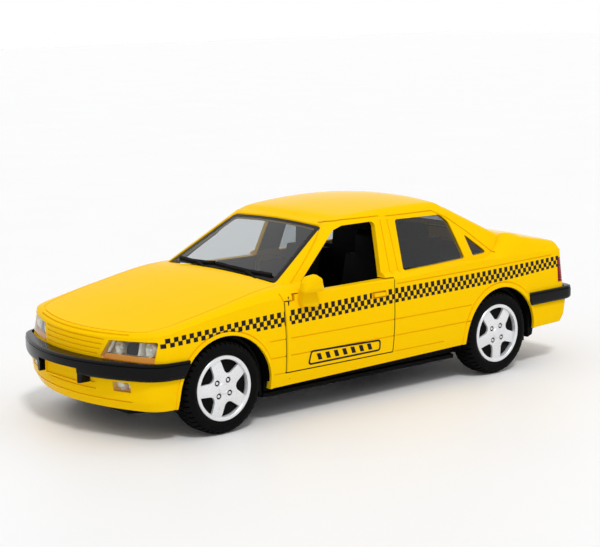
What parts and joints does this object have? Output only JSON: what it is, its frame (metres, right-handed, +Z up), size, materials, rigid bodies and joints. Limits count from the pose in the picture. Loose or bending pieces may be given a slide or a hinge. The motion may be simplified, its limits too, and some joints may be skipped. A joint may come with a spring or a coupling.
{
  "type": "toy car",
  "caption": "Yellow toy saloon car with black bumper strips, checker side band, opening front doors, spoked wheels on steel axles and a geared pull-back motor under the rear seat.",
  "frame": {"origin": "on the ground under the car, midway between the bumper faces and on the car's centre plane", "axes": "+X to the front of the car, +Y to its left side, +Z up"},
  "size_m": [0.184, 0.0758, 0.0584],
  "materials": {
    "body_yellow": "glossy yellow moulding",
    "black_plastic": "satin black moulding",
    "clear_glazing": "clear gloss",
    "lamp_chrome": "bright plated plastic",
    "red_lens": "dark red translucent",
    "tyre_rubber": "soft matte",
    "rim_silver": "silver paint",
    "steel": "bright wire and screws",
    "white_gear": "natural moulding"
  },
  "bodies": {
    "car_body": {"body_shell": "body_yellow", "door_hinge_pin_left": "steel", "door_hinge_pin_right": "steel", "windscreen": "clear_glazing", "rear_screen": "clear_glazing", "side_glass_left": "clear_glazing", "side_glass_right": "clear_glazing", "front_bumper_strip": "black_plastic", "rear_bumper_strip": "black_plastic", "front_number_plate": "body_yellow", "rear_number_plate": "body_yellow", "headlamp_lens_left": "clear_glazing", "headlamp_lens_right": "clear_glazing", "headlamp_reflector_left": "lamp_chrome", "headlamp_reflector_right": "lamp_chrome", "fog_lamp_left": "clear_glazing", "fog_lamp_right": "clear_glazing", "tail_lamp_left": "red_lens", "tail_lamp_right": "red_lens", "chassis": "black_plastic", "front_chassis_screw_left": "steel", "front_chassis_screw_right": "steel", "rear_chassis_screw_left": "steel", "rear_chassis_screw_right": "steel", "interior_tub": "black_plastic", "front_seat_left": "black_plastic", "front_seat_right": "black_plastic", "dashboard": "black_plastic", "steering_wheel": "black_plastic", "spring_arbor": "steel", "motor_case_left": "black_plastic", "motor_case_right": "black_plastic"},
    "left_door": {"door_left": "body_yellow"},
    "right_door": {"door_right": "body_yellow"},
    "front_wheels": {"front_axle": "steel", "front_tyre_left": "tyre_rubber", "front_tyre_right": "tyre_rubber", "front_rim_left": "rim_silver", "front_rim_right": "rim_silver"},
    "rear_wheels": {"rear_axle": "steel", "rear_tyre_left": "tyre_rubber", "rear_tyre_right": "tyre_rubber", "rear_rim_left": "rim_silver", "rear_rim_right": "rim_silver", "axle_gear": "white_gear"},
    "spring_barrel": {"spring_barrel_gear": "white_gear", "mainspring": "steel"}
  },
  "joints": [
    {"name": "left_door_hinge", "type": "hinge", "parent": "car_body", "child": "left_door", "pos_m": [0.0334, 0.03415, 0.0255], "axis": [0, 0, -1], "range_deg": [0, 65]},
    {"name": "right_door_hinge", "type": "hinge", "parent": "car_body", "child": "right_door", "pos_m": [0.0334, -0.03415, 0.0255], "axis": [0, 0, 1], "range_deg": [0, 65]},
    {"name": "front_axle_spin", "type": "hinge", "parent": "car_body", "child": "front_wheels", "pos_m": [0.0576, 0, 0.01346], "axis": [0, 1, 0], "continuous": true},
    {"name": "rear_axle_spin", "type": "hinge", "parent": "car_body", "child": "rear_wheels", "pos_m": [-0.0534, 0, 0.01346], "axis": [0, 1, 0], "continuous": true},
    {"name": "barrel_spin", "type": "hinge", "parent": "car_body", "child": "spring_barrel", "pos_m": [-0.0594, 0, 0.02218], "axis": [0, 1, 0], "continuous": true}
  ],
  "couplings": [
    {"joint": "barrel_spin", "follows": "rear_axle_spin", "ratio": -0.4}
  ]
}
